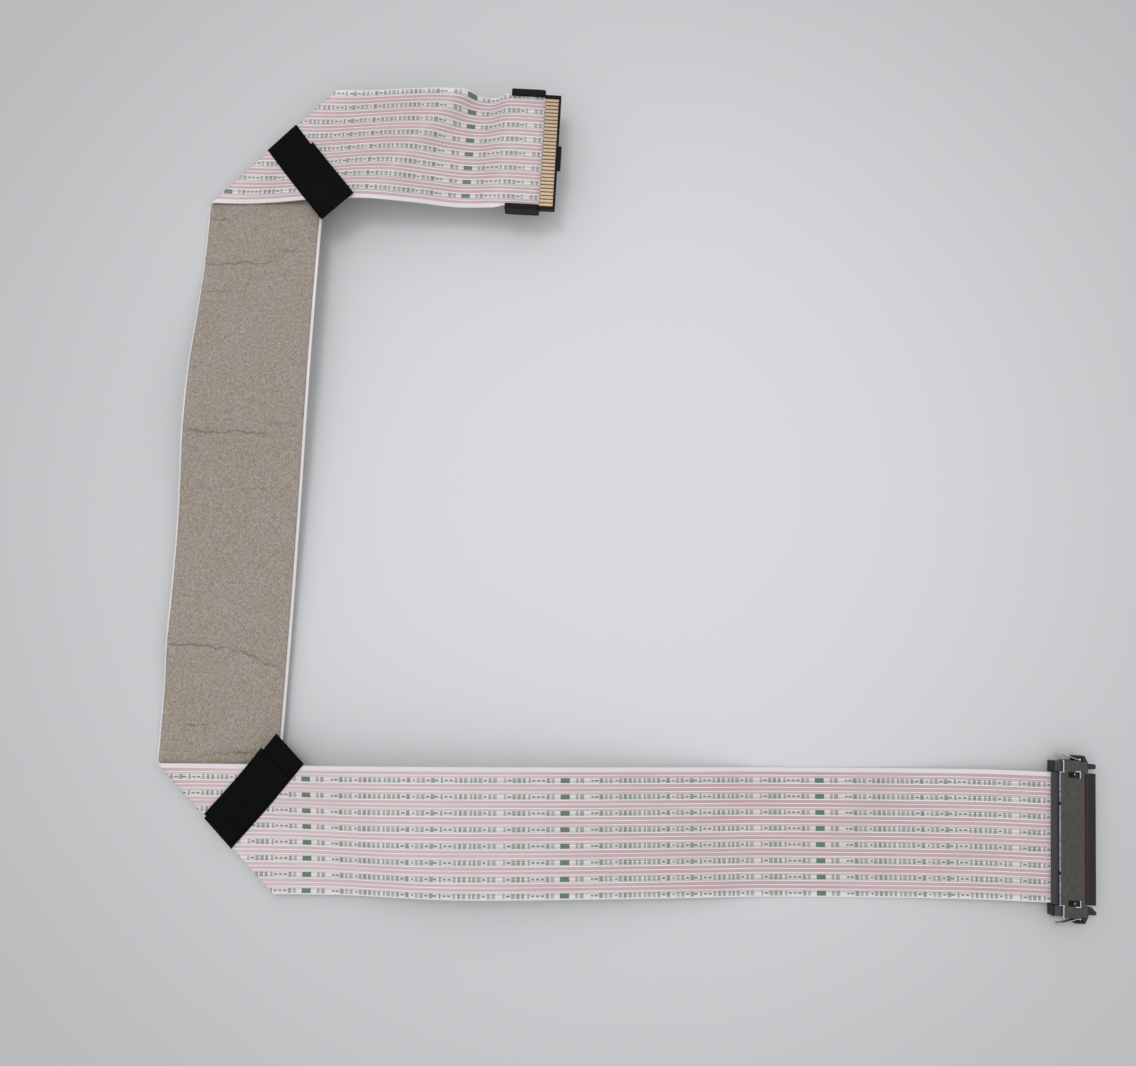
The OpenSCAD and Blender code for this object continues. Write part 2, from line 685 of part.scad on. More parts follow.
module bottom_shell() {
    color(steel_color) translate([0, 0, plug_h]) mirror([0, 0, 1]) shell();
}

// Outline of a bent strip of thickness t along a line of points
function strip(line, t) =
    let (
        last = len(line) - 1,
        side = [for (i = [0 : last])
            let (
                a = unit(line[min(i + 1, last)] - line[min(i, last - 1)]),
                b = unit(line[max(i, 1)] - line[max(i - 1, 0)]),
                n = unit([-a[1] - b[1], a[0] + b[0]])
            )
            n * t / 2 / (n * [-a[1], a[0]])]
    )
    concat([for (i = [0 : last]) line[i] + side[i]], [for (i = [last : -1 : 0]) line[i] - side[i]]);

// Latch: a strip that turns on a peg, with a hook in front and a finger tab behind
module latch() {
    // the hook stays clear of the bracket in front of it when the tab is pressed
    hook = [[0.36, -0.22], [0.26, 0]];
    knee = [-0.6, 0];
    pad_len = 1.4;
    pad_bend = 12;
    bend = knee + (latch_tab - pad_len) * along(180 - latch_lean);
    end = bend + pad_len * along(180 - latch_lean + pad_bend);
    translate([pivot_x, pivot_y, 0]) {
        translate([0, 0, bracket_z])
            cylinder(r = latch_peg_r, h = lug_t + fit + latch_h);
        translate([0, 0, bracket_z + lug_t + fit])
            linear_extrude(latch_h)
                polygon(strip([each hook, knee, bend, end], latch_t));
    }
}

module left_latch() {
    color(latch_color) latch();
}

module right_latch() {
    color(latch_color) mirror([0, 1, 0]) latch();
}

ribbon();
shield_cloth();
lower_fold_tape();
upper_fold_tape();
end_stiffener();
contact_fingers();
card_edge_holder();
plug_housing();
clamp_bar();
plug_contacts();
top_shell();
bottom_shell();
left_latch();
right_latch();
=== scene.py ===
# Folded flat ribbon cable: camera and cable first, then cloth, tapes, connectors, light and floor.
# Sizes are in millimetres and become metres where a mesh is made.
import math

import bmesh
import bpy
import numpy as np
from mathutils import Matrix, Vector


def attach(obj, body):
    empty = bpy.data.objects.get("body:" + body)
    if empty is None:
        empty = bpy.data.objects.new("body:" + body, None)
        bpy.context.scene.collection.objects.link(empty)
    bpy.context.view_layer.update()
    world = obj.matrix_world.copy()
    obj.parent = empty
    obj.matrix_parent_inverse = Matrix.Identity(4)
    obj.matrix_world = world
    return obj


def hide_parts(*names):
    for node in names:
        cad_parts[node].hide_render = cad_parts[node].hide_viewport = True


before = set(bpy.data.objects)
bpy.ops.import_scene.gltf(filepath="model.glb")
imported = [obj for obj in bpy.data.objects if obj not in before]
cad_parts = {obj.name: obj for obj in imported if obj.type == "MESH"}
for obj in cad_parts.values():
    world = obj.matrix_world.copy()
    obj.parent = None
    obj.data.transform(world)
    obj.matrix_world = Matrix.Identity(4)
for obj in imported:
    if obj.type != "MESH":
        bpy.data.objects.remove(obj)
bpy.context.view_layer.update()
scene = bpy.context.scene
mm = 0.001


# Camera, at the place and angle of the photograph
cameraPlan = dict(place=(-127.89, 30.68, 308.5), tiltDeg=7.4, turnDeg=3.0, lens=37.75, sensor=36.0,
                  nearest=10.0, farthest=20000.0)


def addCamera(plan):
    data = bpy.data.cameras.new("photoCamera")
    data.sensor_fit = "HORIZONTAL"
    data.sensor_width = plan["sensor"]
    data.lens = plan["lens"]
    data.clip_start = plan["nearest"] * mm
    data.clip_end = plan["farthest"] * mm
    camera = bpy.data.objects.new("photoCamera", data)
    scene.collection.objects.link(camera)
    camera.location = [v * mm for v in plan["place"]]
    camera.rotation_euler = (math.radians(plan["tiltDeg"]), 0, math.radians(plan["turnDeg"]))
    scene.camera = camera


addCamera(cameraPlan)
print("camera placed")


# Shader maths: a socket that takes Python's operators, and one method for every other node
class Socket:
    def __init__(self, paint, socket):
        self.paint = paint
        self.socket = socket

    def op(self, kind, *values):
        return self.paint.node("ShaderNodeMath", dict(operation=kind), dict(enumerate(values)))

    def __add__(self, other):
        return self.op("ADD", self, other)

    __radd__ = __add__

    def __mul__(self, other):
        return self.op("MULTIPLY", self, other)

    __rmul__ = __mul__

    def __sub__(self, other):
        return self.op("SUBTRACT", self, other)

    def __rsub__(self, other):
        return self.op("SUBTRACT", other, self)

    def __truediv__(self, other):
        return self.op("DIVIDE", self, other)

    def __gt__(self, other):
        return self.op("GREATER_THAN", self, other)

    def __lt__(self, other):
        return self.op("LESS_THAN", self, other)

    def __abs__(self):
        return self.op("ABSOLUTE", self)

    def floor(self):
        return self.op("FLOOR", self)

    def fract(self):
        return self.op("FRACT", self)

    def root(self):
        return self.op("SQRT", self)

    def sine(self):
        return self.op("SINE", self)

    def most(self, other):
        return self.op("MAXIMUM", self, other)

    def within(self, low, high, out0=0.0, out1=1.0):
        # 0 below low, 1 above high, with soft ends
        return self.paint.node("ShaderNodeMapRange", dict(interpolation_type="SMOOTHSTEP"),
                               {"Value": self, "From Min": low, "From Max": high,
                                "To Min": out0, "To Max": out1})


class Paint:
    def __init__(self, name, **shader):
        self.material = bpy.data.materials.new(name)
        self.material.use_nodes = True
        self.tree = self.material.node_tree
        self.shader = self.tree.nodes["Principled BSDF"]
        for key, value in shader.items():
            self.set(key, value)

    def set(self, key, value):
        self.plug(self.shader.inputs[key], value)

    def plug(self, target, value):
        if isinstance(value, Socket):
            self.tree.links.new(value.socket, target)
        elif hasattr(value, "__len__") and len(value) == 3 and target.type == "RGBA":
            target.default_value = (*value, 1)
        else:
            target.default_value = value

    def node(self, kind, settings=None, inputs=None, output=0):
        made = self.tree.nodes.new(kind)
        for key, value in (settings or {}).items():
            setattr(made, key, value)
        for key, value in (inputs or {}).items():
            self.plug(made.inputs[key], value)
        return Socket(self, made.outputs[output])

    def mix(self, factor, a, b, blend="MIX"):
        return self.node("ShaderNodeMix", dict(data_type="RGBA", blend_type=blend),
                         {0: factor, 6: a, 7: b}, output=2)

    def noise(self, vector, scale, detail=2.0, rough=0.5):
        return self.node("ShaderNodeTexNoise", None,
                         {"Vector": vector, "Scale": scale, "Detail": detail, "Roughness": rough})

    def combine(self, *numbers):
        return self.node("ShaderNodeCombineXYZ", None, dict(enumerate(numbers)))

    def split(self, vector):
        parts = self.tree.nodes.new("ShaderNodeSeparateXYZ")
        self.plug(parts.inputs[0], vector)
        return [Socket(self, output) for output in parts.outputs]

    def random(self, *numbers):
        return self.node("ShaderNodeTexWhiteNoise", dict(noise_dimensions="3D"),
                         {"Vector": self.combine(*numbers)})

    def bump(self, height, strength, distance):
        return self.node("ShaderNodeBump", None,
                         {"Height": height, "Strength": strength, "Distance": distance})

    def uv(self):
        # along and across the flat film, both from 0 to 1
        return self.split(self.node("ShaderNodeUVMap", dict(uv_map="UVMap")))[:2]

    def place(self):
        # the place on the object in millimetres: vector, x, y and z
        coords = self.node("ShaderNodeTexCoord", output="Object")
        vector = self.node("ShaderNodeVectorMath", dict(operation="SCALE"), {0: coords, "Scale": 1 / mm})
        return vector, *self.split(vector)


# Ribbon: one laminate from the plug, over two folds, to its bare end
ribbonPlan = dict(conductors=30, pitch=1.0, margin=1.5, thick=0.3, lowerRun=215.6, middleRun=180.0,
                  upperRun=77.0, lowerTurn=92.6, upperTurn=90.2, plugTurn=2.6, bendFrom=5.0, bend=24.0,
                  foldRadius=0.65, start=2.5, plugHeight=2.6, holderHeight=8.8, contact=3.6,
                  holderFlat=14.0, trimFrom=14.2, trimTo=12.7, trim=0.9, creaseHold=34.0, lowerEase=61.0,
                  squareFrom=1.0, freeFrom=31.0, nearFold=2.5, foldMargin=1.06, foldRows=23, rowStep=1.6,
                  columns=61, columnsFrom=1.0, edgeStrip=0.12)
p = ribbonPlan
width = (p["conductors"] - 1) * p["pitch"] + 2 * p["margin"]
halfWidth = width / 2
lowerFold = p["lowerRun"]
upperFold = lowerFold + p["middleRun"]
ribbonEnd = upperFold + p["upperRun"]
filmEnd = ribbonEnd - p["contact"]
foldArc = p["foldRadius"] * math.pi / 2
creaseReach = foldArc / math.sin(math.radians(45)) * p["foldMargin"]
freeRun = p["upperRun"] - p["holderFlat"] - p["freeFrom"]
slotLift = p["plugHeight"] - 2 * p["foldRadius"]
holderLift = p["holderHeight"] - 2 * p["foldRadius"]

# Heights: [length, at the left edge, at the right edge]. The middle run lies at them, and the
# other two runs lie two fold radii above them.
plugSide = [[0, slotLift, slotLift], [13, slotLift, slotLift], [26, 0.3, 0.3],
            [45, -0.85, -0.85], [78, -0.85, -0.85]]
lowerFoldSide = [[-126, 0.8, 0.8], [-108, 3.2, 3.2], [-90, 5.4, 5.4], [-70, 7, 7],
                 [-52, 7.4, 7.4], [-40, 6.4, 6.4], [-31, 4, 4], [-20, 1.2, 1.2], [-10, 0.5, 0.5],
                 [0, 0.44, 0.44], [10, 0.46, 0.46], [20, 0.8, 0.8], [31, 2.2, 2.2], [46, 2.1, 2.1],
                 [66, 2.4, 2.4], [84, 3.8, 3.6]]
upperFoldSide = [[-70, 6.2, 6], [-48, 5.8, 6.4], [-33, 3, 6], [-20, 0.8, 4.8],
                 [-10, 0.3, 4.2], [0, 0.3, 4.2], [10, 1, 5], [20, 3.4, 7], [31, 7.2, 8.6]]
hump = [[0.28, 9.2, 8.2], [0.53, 8.2, 4.6], [0.78, 6.2, 4.6]]
holderSide = [[-p["holderFlat"], holderLift, holderLift], [0, holderLift, holderLift]]
knots = np.array(plugSide + [[s + lowerFold, a, b] for s, a, b in lowerFoldSide]
                 + [[s + upperFold, a, b] for s, a, b in upperFoldSide]
                 + [[upperFold + p["freeFrom"] + s * freeRun, a, b] for s, a, b in hump]
                 + [[s + ribbonEnd, a, b] for s, a, b in holderSide])


def lift(s, column):
    # a smooth curve through the knots
    x, y = knots[:, 0], knots[:, column]
    slope = np.zeros(len(x))
    slope[1:-1] = (y[2:] - y[:-2]) / (x[2:] - x[:-2])
    i = np.clip(np.searchsorted(x, s, side="right") - 1, 0, len(x) - 2)
    span = x[i + 1] - x[i]
    t = np.clip((s - x[i]) / span, 0, 1)
    return ((1 + 2 * t) * (1 - t) ** 2 * y[i] + t * (1 - t) ** 2 * span * slope[i]
            + t * t * (3 - 2 * t) * y[i + 1] + t * t * (t - 1) * span * slope[i + 1])


def smooth(x):
    t = np.clip(x, 0, 1)
    return t * t * (3 - 2 * t)


def heading(degrees):
    a = math.radians(degrees)
    return np.array([math.cos(a), math.sin(a), 0.0])


lowerAngle = 180 + p["plugTurn"]
middleAngle = lowerAngle - p["lowerTurn"]
upperAngle = middleAngle - p["upperTurn"]
bendTo = p["bendFrom"] + p["bend"]
# A run is its start, the length there, its direction and the direction of its left edge
bendPoint = p["bendFrom"] * heading(180) + p["bend"] * heading(180 + p["plugTurn"] / 2)
lowerRun = (bendPoint, bendTo, heading(lowerAngle), heading(lowerAngle - 90))
lowerPoint = bendPoint + (lowerFold - bendTo) * lowerRun[2]
upperPoint = lowerPoint + p["middleRun"] * heading(middleAngle)
middleRun = (lowerPoint, lowerFold, heading(middleAngle), heading(middleAngle + 90))
upperRun = (upperPoint, upperFold, heading(upperAngle), heading(upperAngle - 90))


def makeCrease(length, point, turn, side, run):
    half = math.radians(turn / 2)
    along = math.cos(half) * run[2] + side * math.sin(half) * run[3]
    outward = math.sin(half) * run[2] - side * math.cos(half) * run[3]
    return dict(length=length, point=point, half=half, side=side, along=along, outward=outward,
                shear=side / math.tan(half), corner=halfWidth / math.cos(half))


lowerCrease = makeCrease(lowerFold, lowerPoint, p["lowerTurn"], 1, lowerRun)
upperCrease = makeCrease(upperFold, upperPoint, p["upperTurn"], -1, middleRun)


def shear(s):
    # how far the rulings lean: along the crease near a fold, square at the plug and in the holder
    hold = p["creaseHold"]
    upperEase = p["upperRun"] - hold - p["holderFlat"] + p["squareFrom"]
    low, high = lowerCrease["shear"], upperCrease["shear"]
    onLower = low * smooth((s - lowerFold + hold + p["lowerEase"]) / p["lowerEase"])
    onMiddle = low + (high - low) * smooth((s - lowerFold - hold) / (p["middleRun"] - 2 * hold))
    onUpper = high * (1 - np.clip((s - upperFold - hold) / upperEase, 0, 1))
    return np.where(s <= lowerFold, onLower, np.where(s <= upperFold, onMiddle, onUpper))


def across(q):
    bend = -foldArc + p["foldRadius"] * np.sin((q + foldArc) / p["foldRadius"])
    return np.where(np.abs(q) > foldArc, -np.abs(q), bend)


def climb(q):
    bend = p["foldRadius"] * (1 + np.cos(np.clip((q + foldArc) / p["foldRadius"], 0, math.pi)))
    return np.where(q > foldArc, 0.0, np.where(q < -foldArc, 2 * p["foldRadius"], bend))


def middleAndRuling(s):
    # the centre line at lengths s, and the direction across the film there
    s = np.asarray(s, float)
    middle = np.zeros((len(s), 3))
    ruling = np.zeros((len(s), 3))
    k = shear(s)
    for run, inside in ((lowerRun, (s >= bendTo) & (s < lowerFold)),
                        (middleRun, (s >= lowerFold) & (s < upperFold)), (upperRun, s >= upperFold)):
        middle[inside] = run[0] + (s[inside, None] - run[1]) * run[2]
        ruling[inside] = k[inside, None] * run[2] + run[3]
    for i in np.flatnonzero(s < bendTo):
        share = np.clip((s[i] - p["bendFrom"]) / p["bend"], 0, 1)
        turned = p["plugTurn"] * share
        middle[i] = (min(s[i], p["bendFrom"]) * heading(180)
                     + share * p["bend"] * heading(180 + turned / 2))
        ruling[i] = heading(90 + turned)
    middle[:, 2] = np.where((s > lowerFold) & (s < upperFold), 0.0, 2 * p["foldRadius"])
    for crease in (lowerCrease, upperCrease):
        near = np.abs(s - crease["length"]) < p["nearFold"]
        away = s[near] - crease["length"]
        q = away * math.sin(crease["half"])
        middle[near] = (crease["point"] + (away * math.cos(crease["half"]))[:, None] * crease["along"]
                        + across(q)[:, None] * crease["outward"])
        middle[near, 2] = climb(crease["side"] * q)
        ruling[near] = crease["side"] / math.sin(crease["half"]) * crease["along"]
    left, right = lift(s, 1), lift(s, 2)
    middle[:, 2] += (left + right) / 2
    ruling[:, 2] = (left - right) / width
    return middle, ruling


def printedNormal(s):
    step = 0.01
    ahead, behind = middleAndRuling(s + step)[0], middleAndRuling(s - step)[0]
    normal = np.cross(middleAndRuling(s)[1], ahead - behind)
    return normal / np.linalg.norm(normal, axis=1)[:, None]


def ribbonGrid(s, w, off):
    # points at lengths s and widths w, off the middle of the film, which is trimmed near its end
    middle, ruling = middleAndRuling(s)
    normal = printedNormal(s)
    off = np.broadcast_to(off, (len(s), len(w)))
    narrow = np.clip((s - ribbonEnd + p["trimFrom"]) / (p["trimFrom"] - p["trimTo"]), 0, 1)
    w = np.clip(w[None], -halfWidth + p["trim"] * narrow[:, None], halfWidth - p["trim"] * narrow[:, None])
    return middle[:, None] + w[..., None] * ruling[:, None] + off[..., None] * normal[:, None]


def filmMap(s, w):
    # along and across the flat film, both from 0 to 1
    return (s[:, None] + shear(s)[:, None] * w[None]) / ribbonEnd, (w[None] + halfWidth) / width


def slabMesh(name, outer, inner, u, v, materials):
    # a closed slab from two grids of points, with its first material on the outer face
    rows, cols = outer.shape[:2]
    inside = rows * cols
    index = np.arange(inside).reshape(rows, cols)
    a, b, c, d = index[:-1, :-1], index[:-1, 1:], index[1:, 1:], index[1:, :-1]

    def quads(*corners):
        return np.stack([x.ravel() for x in corners], axis=1)

    faces = [quads(a, b, c, d), quads(a + inside, d + inside, c + inside, b + inside)]
    for edge, flip in ((index[:, 0], True), (index[:, -1], False), (index[0], False), (index[-1], True)):
        one, two = edge[:-1], edge[1:]
        if flip:
            one, two = two, one
        faces.append(quads(two + inside, one + inside, one, two))
    slots = np.repeat(np.arange(3), [len(faces[0]), len(faces[1]), sum(len(f) for f in faces[2:])])
    allFaces = np.concatenate(faces)
    points = np.concatenate([outer.reshape(-1, 3), inner.reshape(-1, 3)]) * mm
    mesh = bpy.data.meshes.new(name)
    mesh.from_pydata(points.tolist(), [], allFaces.tolist())
    for material in materials:
        mesh.materials.append(material)
    mesh.polygons.foreach_set("material_index", np.minimum(slots, len(materials) - 1))
    flat = np.stack([np.broadcast_to(u, (rows, cols)), np.broadcast_to(v, (rows, cols))], -1).reshape(-1, 2)
    flat = np.concatenate([flat, flat])[allFaces.ravel()]
    mesh.uv_layers.new(name="UVMap").data.foreach_set("uv", flat.ravel())
    mesh.polygons.foreach_set("use_smooth", slots < 2)
    mesh.update()
    shape = bmesh.new()
    shape.from_mesh(mesh)
    bmesh.ops.recalc_face_normals(shape, faces=shape.faces)
    shape.to_mesh(mesh)
    shape.free()
    piece = bpy.data.objects.new(name, mesh)
    scene.collection.objects.link(piece)
    return piece


filmPlan = dict(pink=(0.465, 0.335, 0.355), back=(0.62, 0.57, 0.56), line=(0.86, 0.78, 0.79),
                edge=(0.68, 0.64, 0.65), band=(0.55, 0.505, 0.49), ink=(0.036, 0.125, 0.072),
                edgeFrom=0.35, edgeTo=0.6, lineFrom=0.38, lineTo=0.46, linePatch=1.5, lineStreak=0.5,
                bandFrom=0.5, bandTo=1.1, bandShare=0.9, streak=(0.03, 0.9), streakMiddle=0.45,
                streakShare=0.6, patch=(0.05, 0.11), glareRise=(90.0, 170.0), glareFall=(210.0, 240.0),
                glareShare=0.2, index=1.45, gloss=(0.3, 0.7, 0.26, 0.42), wave=3.0, groove=0.35,
                relief=0.3, reliefDepth=0.00015)
markPlan = dict(rowPitch=3.97, rowFirst=0.97, height=0.6, cell=1.2, firstCell=40.0, group=6.0,
                groupGap=0.4, groupCut=1.7, groupSeed=(3.0, 1.0), half=0.28, halfSpread=0.14,
                halfSeed=(4.0, 5.0), shade=0.46, shadeSpread=0.26, shadeSeed=(6.0, 1.0), dashHeight=0.22,
                dashAbove=0.82, dashShade=0.8, dashSeed=(8.0, 2.0), repeat=64.5, blockAt=62.4,
                blockHalf=1.15, blockClear=2.6, blockShade=0.9)


def filmMarks(paint, s, w):
    # rows of small bars and short dashes in groups, with a darker block once in each repeat
    m = markPlan
    row = ((w - m["rowFirst"]) / m["rowPitch"] + 0.5).floor()
    offRow = abs(w - m["rowFirst"] - row * m["rowPitch"])
    t = ((s - m["blockAt"]) / m["repeat"] + 0.5).fract() * m["repeat"] - m["repeat"] / 2
    cell = t / m["cell"] + m["firstCell"]
    number = cell.floor()
    group = (cell / m["group"]).floor()
    inGroup = (cell / m["group"]).fract() * m["group"]
    length = m["group"] - m["groupGap"] - (paint.random(group, *m["groupSeed"]) * m["groupCut"]).floor()
    half = paint.random(number, *m["halfSeed"]) * m["halfSpread"] + m["half"]
    shade = paint.random(number, *m["shadeSeed"]) * m["shadeSpread"] + m["shade"]
    isDash = paint.random(number, *m["dashSeed"]) > m["dashAbove"]
    tall = offRow < m["height"]
    low = offRow < m["dashHeight"]
    marks = (isDash * low * m["dashShade"]).most((1 - isDash) * tall * shade)
    marks = marks * (abs(cell.fract() - 0.5) < half) * (inGroup < length) * (abs(t) > m["blockClear"])
    block = (abs(t) < m["blockHalf"]) * tall
    return marks.most(block * m["blockShade"]), offRow


def filmPaint(name, printed):
    f = filmPlan
    paint = Paint(name, IOR=f["index"])
    u, v = paint.uv()
    s, w = u * ribbonEnd, v * width
    # pale lines of bare film show between the wide tinted conductors
    phase = abs((w - p["margin"] + 0.5).fract() - 0.5)
    line = phase.within(f["lineFrom"], f["lineTo"])
    rowsHalf = halfWidth - p["margin"]
    inside = 1 - abs(w - halfWidth).within(rowsHalf + f["edgeFrom"], rowsHalf + f["edgeTo"])
    streak = paint.noise(paint.combine(s * f["streak"][0], w * f["streak"][1]), 1.0)
    patch = paint.noise(paint.combine(s * f["patch"][0], w * f["patch"][1]), 1.0)
    marks, offRow = filmMarks(paint, s, w)
    nearRow = 1 - offRow.within(f["bandFrom"], f["bandTo"])
    tint = paint.mix(nearRow * f["bandShare"], f["pink"] if printed else f["back"], f["band"])
    tint = paint.mix((streak - f["streakMiddle"]) * f["streakShare"], tint, f["line"])
    # the pale lines are bare film, and their whitening in patches and streaks is a painted highlight
    colour = paint.mix(line * (patch * f["linePatch"] + streak * f["lineStreak"]), tint, f["line"])
    # painted glare: the long run is paler towards its fold
    paintedGlare = s.within(*f["glareRise"]) - s.within(*f["glareFall"])
    colour = paint.mix(paintedGlare * f["glareShare"], colour, f["line"])
    colour = paint.mix(inside, f["edge"], colour)
    if printed:
        colour = paint.mix(marks, colour, f["ink"])
    paint.set("Base Color", colour)
    paint.set("Roughness", patch.within(*f["gloss"]))
    paint.set("Normal", paint.bump(patch * f["wave"] - line * f["groove"], f["relief"], f["reliefDepth"]))
    return paint.material


def evenRows(start, end, step):
    return np.linspace(start, end, math.ceil((end - start) / step) + 1)


foldRows = np.linspace(-creaseReach, creaseReach, p["foldRows"])[1:-1]
ribbonLengths = np.concatenate([
    evenRows(p["start"], lowerFold - creaseReach, p["rowStep"]), lowerFold + foldRows,
    evenRows(lowerFold + creaseReach, upperFold - creaseReach, p["rowStep"]), upperFold + foldRows,
    evenRows(upperFold + creaseReach, filmEnd, p["rowStep"])])
columnsHalf, stripHalf = halfWidth - p["columnsFrom"], halfWidth - p["edgeStrip"]
ribbonWidths = np.concatenate([[-halfWidth, -stripHalf], np.linspace(-columnsHalf, columnsHalf, p["columns"]),
                               [stripHalf, halfWidth]])

ribbonFilm = slabMesh(
    "ribbonFilm", ribbonGrid(ribbonLengths, ribbonWidths, p["thick"] / 2),
    ribbonGrid(ribbonLengths, ribbonWidths, -p["thick"] / 2),
    *filmMap(ribbonLengths, ribbonWidths),
    [filmPaint("printedFilm", True), filmPaint("plainFilm", False)])
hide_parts("ribbon")
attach(ribbonFilm, "cable")
centreLine = middleAndRuling(ribbonLengths[ribbonLengths > p["bendFrom"]])[0] * mm
print("ribbon made")


# Shield cloth on the middle run, with its soft creases
clothPlan = dict(thick=0.15, seat=0.05, insetRight=0.75, insetLeft=0.5, endLow=0.3, endHigh=0.9,
                 rowStep=0.5, columns=60, light=(0.50, 0.425, 0.35), dark=(0.14, 0.116, 0.097),
                 warm=(0.30, 0.25, 0.20), cool=(0.31, 0.29, 0.28), toneShare=0.22, tone=(0.12, 3.0),
                 toneRange=(0.35, 0.65), twill=0.47, twillDeg=38.0, threadRate=0.62, ribShare=0.65,
                 threadShare=0.06, grain=(1.5, 5.0, 0.75), grainShare=2.0, base=0.1, wobbleScale=0.35,
                 wobble=0.35, roughness=0.75, shine=0.3, ribRelief=0.7, threadRelief=0.3, relief=0.5,
                 reliefDepth=0.00006)
creasePlan = dict(past=2.0, fade=3.0, ridge=0.8, ridgeHalf=0.8, valley=0.55, valleyHalf=1.0, valleyAt=1.5,
                  deepest=-0.04, lineAt=1.3, lineHalf=0.42, lineIn=2.5, lineOut=1.5, lineShare=1.6,
                  lineTone=0.45, waver=2.6, waverScale=(0.3, 3.0))
# creases as [length from the lower fold, where it starts and ends across, slope, depth]
clothCreases = [[148.1, 16, -5, -0.02, 0.30], [151.6, -5, -12, 0.04, 0.22],
                [101.8, 15, -7, -0.02, 0.30], [105.4, -7.5, -13.5, 0.05, 0.18],
                [46.9, 16, -1.5, 0.03, 0.30], [46.2, -1.5, -14.5, 0.33, 0.25],
                [26.3, 9.5, 3, -0.12, 0.27], [19.8, 3, -10, -0.05, 0.28],
                [33.4, -6.5, -10, 0.9, 0.15], [161.4, 16, 9, 0.1, 0.24],
                [140.3, 16, 6, 0.0, 0.2], [137.8, 16, 10, 0.1, 0.16]]


def creaseHeight(s, w):
    # each crease is a ridge with a shallow valley before it
    k = creasePlan
    height = np.zeros((len(s), len(w)))
    along = s[:, None] + shear(s)[:, None] * w[None] - lowerFold
    for place, start, end, slope, depth in clothCreases:
        low, high = min(start, end) - k["past"], max(start, end) + k["past"]
        x = along - place - slope * (w[None] - start)
        fade = smooth((w[None] - low) / k["fade"]) * smooth((high - w[None]) / k["fade"])
        ridge = k["ridge"] * np.exp(-(x / k["ridgeHalf"]) ** 2)
        valley = k["valley"] * np.exp(-((x + k["valleyAt"]) / k["valleyHalf"]) ** 2)
        height += depth * fade * (ridge - valley)
    return height


def creaseLines(paint, vector):
    # a thin shadow line in the bottom of each crease
    k = creasePlan
    u, v = paint.uv()
    s, w = u * ribbonEnd - lowerFold, v * width - halfWidth
    waver = (paint.noise(vector, *k["waverScale"]) - 0.5) * k["waver"]
    lines = 0.0
    for place, start, end, slope, depth in clothCreases:
        middle, reach = (start + end) / 2, abs(start - end) / 2
        offLine = abs(s - place + k["lineAt"] - (w - start) * slope + waver)
        past = abs(w - middle).within(reach - k["lineIn"], reach + k["lineOut"])
        line = (1 - offLine.within(0.0, k["lineHalf"])) * (1 - past)
        lines = (line * (depth * k["lineShare"])).most(lines)
    return lines


def clothPaint():
    c = clothPlan
    paint = Paint("shieldTwill", Roughness=c["roughness"], **{"Specular IOR Level": c["shine"]})
    vector, x, y, _ = paint.place()
    wobble = (paint.noise(vector, c["wobbleScale"]) - 0.5) * c["wobble"]
    lean = math.radians(c["twillDeg"])
    turn = 2 * math.pi / c["twill"]
    rib = ((y * math.cos(lean) - x * math.sin(lean) + wobble) * turn).sine() * 0.5 + 0.5
    thread = ((y * math.sin(lean) + x * math.cos(lean)) * (turn * c["threadRate"])).sine() * 0.5 + 0.5
    grain = (paint.noise(vector, *c["grain"]) - 0.5) * c["grainShare"]
    weave = (rib * c["ribShare"] + thread * c["threadShare"] + grain + c["base"]).within(0.0, 1.0)
    tone = paint.noise(vector, *c["tone"]).within(*c["toneRange"])
    colour = paint.mix(weave, c["dark"], c["light"])
    colour = paint.mix(c["toneShare"], colour, paint.mix(tone, c["warm"], c["cool"]))
    shadow = [v * creasePlan["lineTone"] for v in c["dark"]]
    paint.set("Base Color", paint.mix(creaseLines(paint, vector), colour, shadow))
    height = rib * c["ribRelief"] + thread * c["threadRelief"]
    paint.set("Normal", paint.bump(height, c["relief"], c["reliefDepth"]))
    return paint.material


clothLengths = evenRows(lowerFold + p["foldRadius"] + clothPlan["endLow"],
                        upperFold - clothPlan["endHigh"], clothPlan["rowStep"])
clothWidths = np.linspace(-halfWidth + clothPlan["insetRight"], halfWidth - clothPlan["insetLeft"],
                          clothPlan["columns"])
clothBase = -p["thick"] / 2 - clothPlan["seat"]
clothRise = np.maximum(creaseHeight(clothLengths, clothWidths), creasePlan["deepest"])
shieldCloth = slabMesh(
    "shieldCloth", ribbonGrid(clothLengths, clothWidths, clothBase),
    ribbonGrid(clothLengths, clothWidths, clothBase - clothPlan["thick"] - clothRise),
    *filmMap(clothLengths, clothWidths), [clothPaint()])
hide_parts("shield_cloth")
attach(shieldCloth, "cable")
print("cloth made")


# Tape round each fold: two layers, closed into a flag past the inner corner
tapePlan = dict(width=10.3, thick=0.22, seat=0.05, flag=5.4, short=2.2, step=5.4, bare=7.4, slip=0.7,
                close=2.4, free=0.9, lowerLean=5.0, lowerShift=1.9, upperLean=-5.5, upperShift=-3.8,
                rows=70, turnRows=15, secondRows=60, columns=21, mapSize=60.0,
                dark=(0.0018, 0.0019, 0.0021), light=(0.0036, 0.0037, 0.004), mottle=0.8,
                roughness=0.9, shine=0.08, weave=9.0, relief=0.3, reliefDepth=0.00004)


def filmPlace(crease, q, y):
    # length along the ribbon and place across it, for a point of the fold's own plan
    away = crease["side"] * q / math.sin(crease["half"])
    place = -crease["side"] * math.sin(crease["half"]) * (y + away * math.cos(crease["half"]))
    return crease["length"] + away, place


def layerHeight(crease, q, y):
    s, w = filmPlace(crease, q, y)
    left, right = lift(s, 1), lift(s, 2)
    return (left + right) / 2 + (left - right) * w / width + climb(q)


